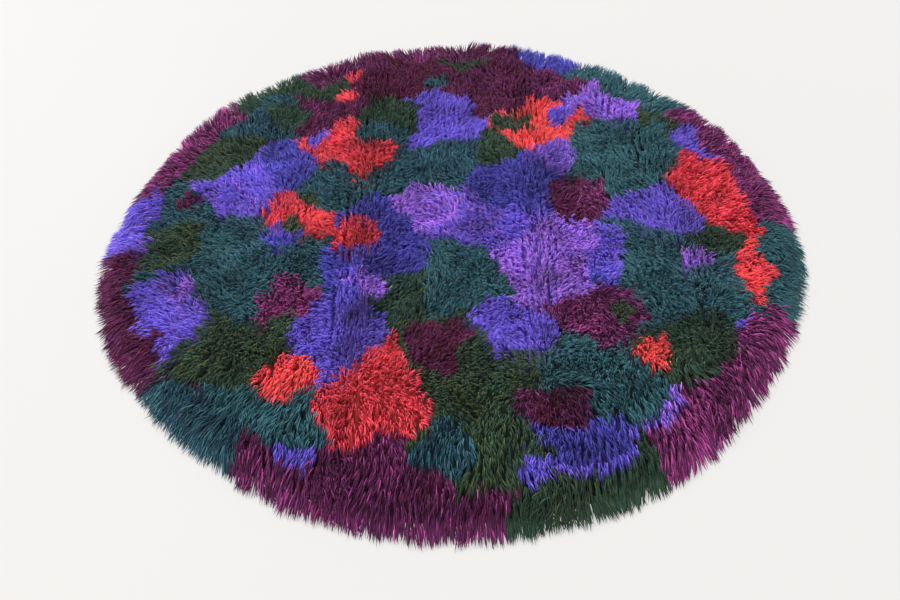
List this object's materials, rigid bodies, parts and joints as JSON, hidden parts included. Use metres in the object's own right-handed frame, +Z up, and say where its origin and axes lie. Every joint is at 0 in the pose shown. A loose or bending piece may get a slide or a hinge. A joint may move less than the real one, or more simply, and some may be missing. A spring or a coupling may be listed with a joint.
{
  "type": "round rya rug",
  "caption": "Round long-pile rya rug lying flat, its wool pile in patches of plum, green, violet and red, with loose locks at the rim.",
  "frame": {"origin": "on the floor, under the middle of the rug's bounding box", "axes": "+Z up out of the pile, +Y towards the back of the pictured view, +X to its right; the knot rows and the soft folds run along Y"},
  "size_m": [2.0398, 2.0306, 0.0647],
  "materials": {
    "pile": "long matt wool pile in plum, teal, forest green, violet, lilac, cobalt and red yarns"
  },
  "bodies": {
    "root": {"rug": "pile"}
  },
  "joints": []
}
